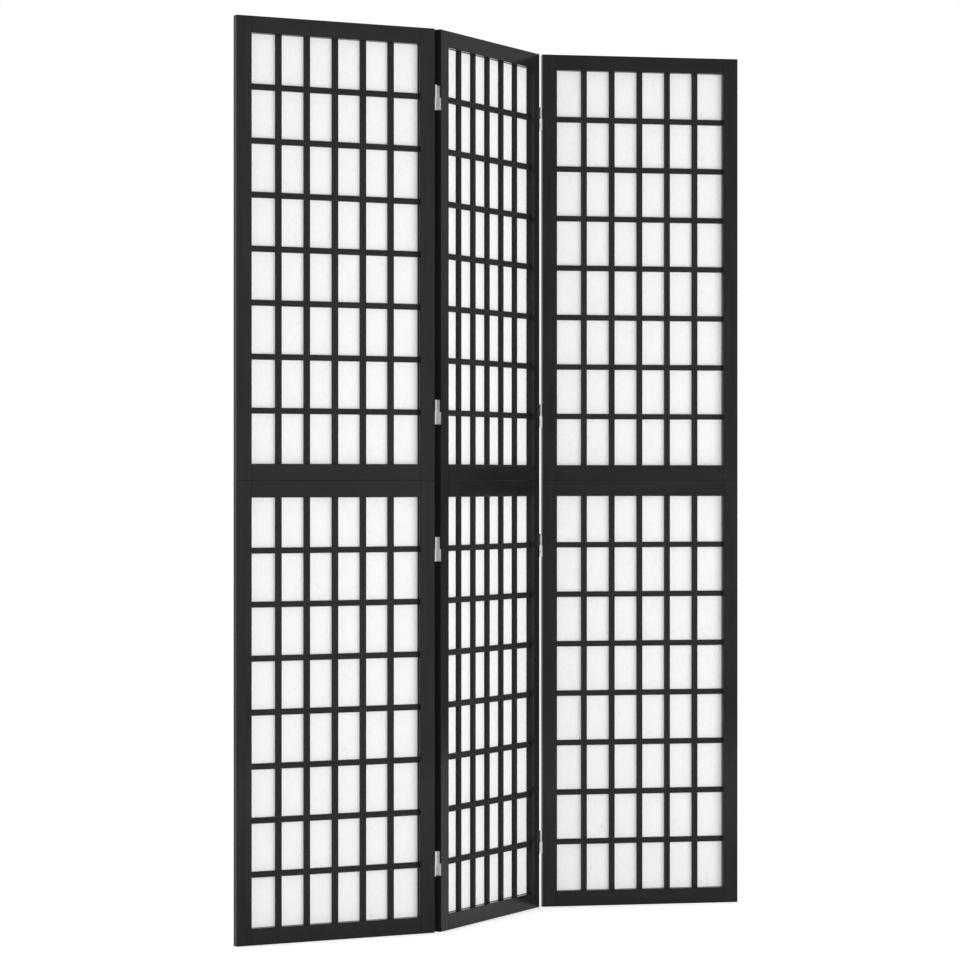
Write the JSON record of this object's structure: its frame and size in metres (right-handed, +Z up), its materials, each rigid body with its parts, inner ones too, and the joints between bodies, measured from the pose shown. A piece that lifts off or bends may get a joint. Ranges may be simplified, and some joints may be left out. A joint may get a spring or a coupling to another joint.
{
  "type": "shoji folding screen",
  "caption": "Free-standing folding screen of hinged wooden panels, each with a black frame and lattice over white translucent paper.",
  "frame": {"origin": "on the floor, under the middle of the bounding box, with the screen folded as in the picture", "axes": "+Z up; +X from the screen's left end to its right end, seen from the front; the front looks along -Y"},
  "size_m": [1.1518, 0.2178, 1.7],
  "materials": {
    "frame_wood": "satin black lacquer",
    "lattice_wood": "satin black lacquer",
    "shoji_paper": "matt translucent, fibrous",
    "hinge_metal": "satin zinc plate"
  },
  "bodies": {
    "left_panel": {"left_lower_left_stile": "frame_wood", "left_lower_right_stile": "frame_wood", "left_lower_bottom_rail": "frame_wood", "left_lower_top_rail": "frame_wood", "left_lower_lattice": "lattice_wood", "left_lower_paper": "shoji_paper", "left_upper_left_stile": "frame_wood", "left_upper_right_stile": "frame_wood", "left_upper_bottom_rail": "frame_wood", "left_upper_top_rail": "frame_wood", "left_upper_lattice": "lattice_wood", "left_upper_paper": "shoji_paper", "left_fold_hinge_1_left_leaf": "hinge_metal", "left_fold_hinge_2_left_leaf": "hinge_metal", "left_fold_hinge_3_left_leaf": "hinge_metal", "left_fold_hinge_4_left_leaf": "hinge_metal"},
    "left_links": {"left_fold_hinge_1_link": "hinge_metal", "left_fold_hinge_2_link": "hinge_metal", "left_fold_hinge_3_link": "hinge_metal", "left_fold_hinge_4_link": "hinge_metal"},
    "middle_panel": {"middle_lower_left_stile": "frame_wood", "middle_lower_right_stile": "frame_wood", "middle_lower_bottom_rail": "frame_wood", "middle_lower_top_rail": "frame_wood", "middle_lower_lattice": "lattice_wood", "middle_lower_paper": "shoji_paper", "middle_upper_left_stile": "frame_wood", "middle_upper_right_stile": "frame_wood", "middle_upper_bottom_rail": "frame_wood", "middle_upper_top_rail": "frame_wood", "middle_upper_lattice": "lattice_wood", "middle_upper_paper": "shoji_paper", "left_fold_hinge_1_right_leaf": "hinge_metal", "left_fold_hinge_2_right_leaf": "hinge_metal", "left_fold_hinge_3_right_leaf": "hinge_metal", "left_fold_hinge_4_right_leaf": "hinge_metal", "right_fold_hinge_1_left_leaf": "hinge_metal", "right_fold_hinge_2_left_leaf": "hinge_metal", "right_fold_hinge_3_left_leaf": "hinge_metal", "right_fold_hinge_4_left_leaf": "hinge_metal"},
    "right_links": {"right_fold_hinge_1_link": "hinge_metal", "right_fold_hinge_2_link": "hinge_metal", "right_fold_hinge_3_link": "hinge_metal", "right_fold_hinge_4_link": "hinge_metal"},
    "right_panel": {"right_lower_left_stile": "frame_wood", "right_lower_right_stile": "frame_wood", "right_lower_bottom_rail": "frame_wood", "right_lower_top_rail": "frame_wood", "right_lower_lattice": "lattice_wood", "right_lower_paper": "shoji_paper", "right_upper_left_stile": "frame_wood", "right_upper_right_stile": "frame_wood", "right_upper_bottom_rail": "frame_wood", "right_upper_top_rail": "frame_wood", "right_upper_lattice": "lattice_wood", "right_upper_paper": "shoji_paper", "right_fold_hinge_1_right_leaf": "hinge_metal", "right_fold_hinge_2_right_leaf": "hinge_metal", "right_fold_hinge_3_right_leaf": "hinge_metal", "right_fold_hinge_4_right_leaf": "hinge_metal"}
  },
  "joints": [
    {"name": "left_fold_back", "type": "hinge", "parent": "middle_panel", "child": "left_links", "pos_m": [-0.17039, -0.08688, 0.85], "axis": [0, 0, -1], "range_deg": [-34.7, 145.3]},
    {"name": "left_fold_front", "type": "hinge", "parent": "left_links", "child": "left_panel", "pos_m": [-0.1756, -0.10684, 0.85], "axis": [0, 0, 1], "range_deg": [0, 90]},
    {"name": "right_fold_front", "type": "hinge", "parent": "middle_panel", "child": "right_links", "pos_m": [0.19348, 0.08918, 0.85], "axis": [0, 0, -1], "range_deg": [-50.9, 129.1]},
    {"name": "right_fold_back", "type": "hinge", "parent": "right_links", "child": "right_panel", "pos_m": [0.20405, 0.10689, 0.85], "axis": [0, 0, 1], "range_deg": [0, 90]}
  ]
}
